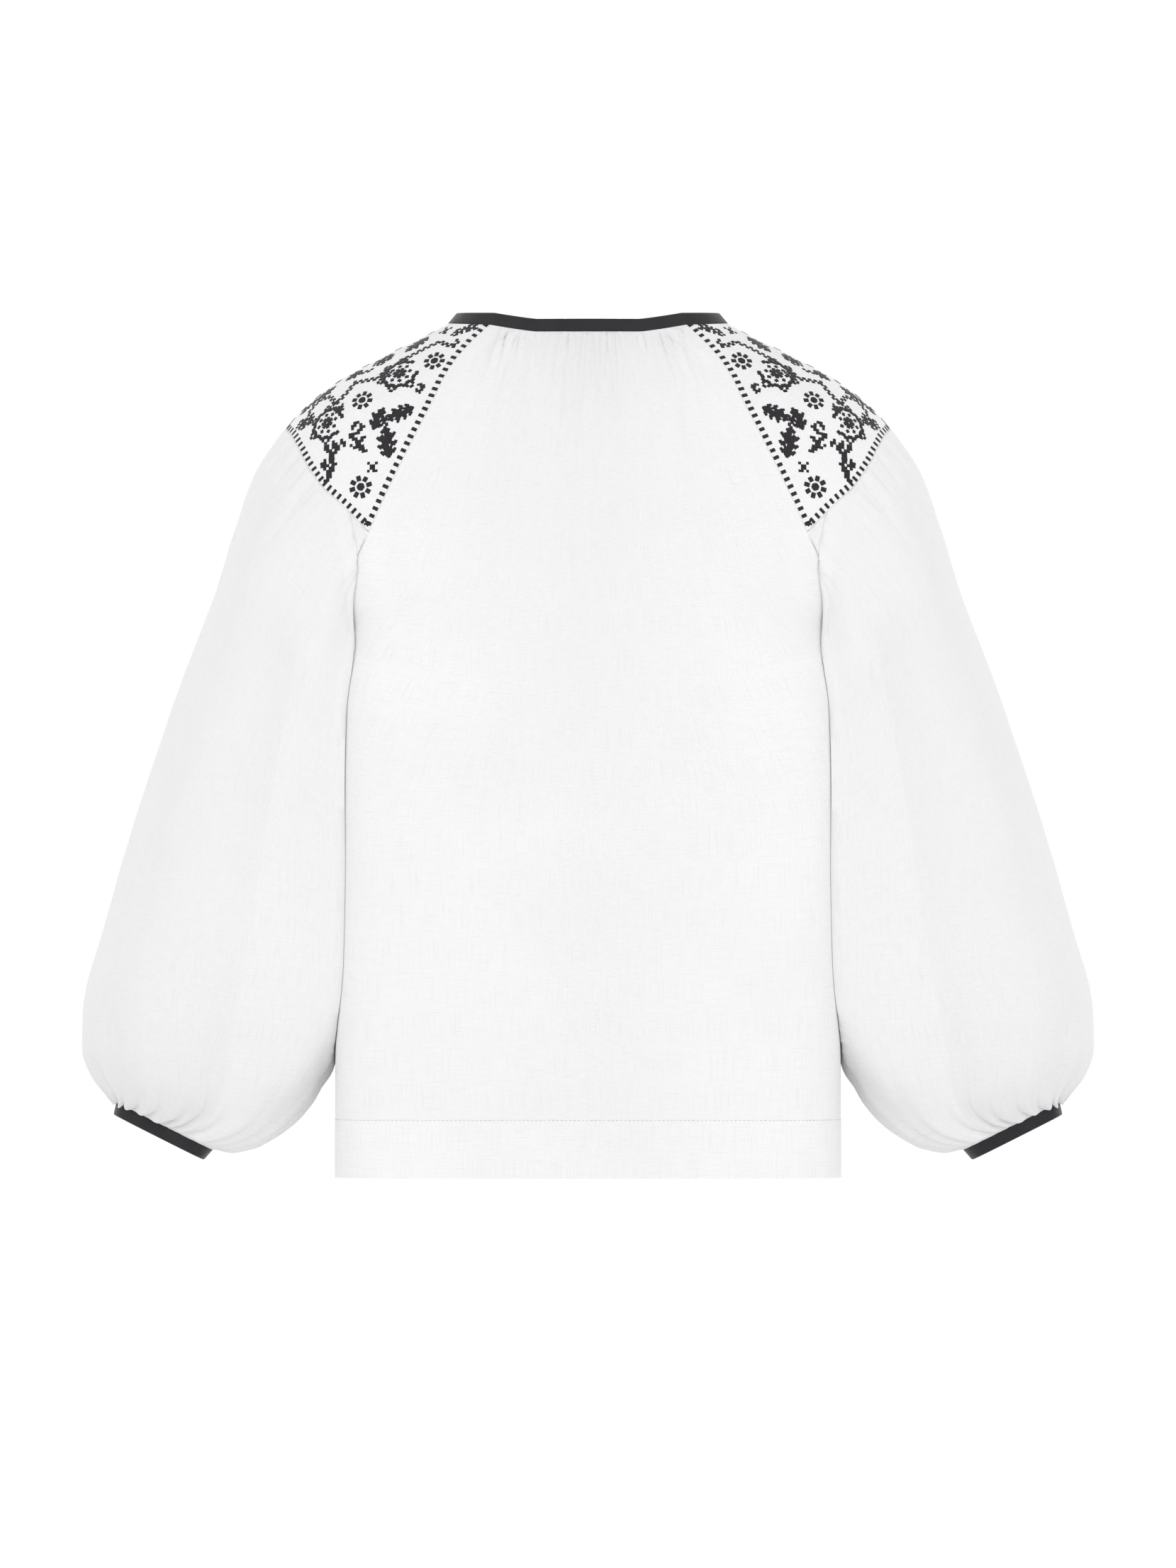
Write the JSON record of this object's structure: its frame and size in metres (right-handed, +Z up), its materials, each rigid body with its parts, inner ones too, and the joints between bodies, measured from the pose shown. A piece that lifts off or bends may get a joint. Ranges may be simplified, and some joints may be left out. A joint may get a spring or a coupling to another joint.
{
  "type": "embroidered shirt",
  "caption": "Empty, filled-out peasant shirt: linen gathered into a dark taped neck, embroidered shoulder yokes, full sleeves gathered into taped cuffs, deep turned hem.",
  "frame": {"origin": "midway between the shoulders, level with the highest point of the neck edge, where the garment is held", "axes": "+Z up, +X to the garment's right-hand side as its back is seen, -Y faces the back of the garment, +Y its front"},
  "size_m": [0.8128, 0.2503, 0.6952],
  "materials": {
    "linen": "plain woven, matt, slightly slubby",
    "tape": "closely woven twill tape, matt",
    "thread": "stranded embroidery thread with a soft sheen",
    "sewing_thread": "fine twisted sewing thread, matt"
  },
  "bodies": {
    "root": {"back_panel": "linen", "front_panel": "linen", "yoke_left": "linen", "yoke_right": "linen", "sleeve_left": "linen", "sleeve_right": "linen", "cuff_left": "tape", "cuff_right": "tape", "neckband": "tape"}
  },
  "joints": []
}
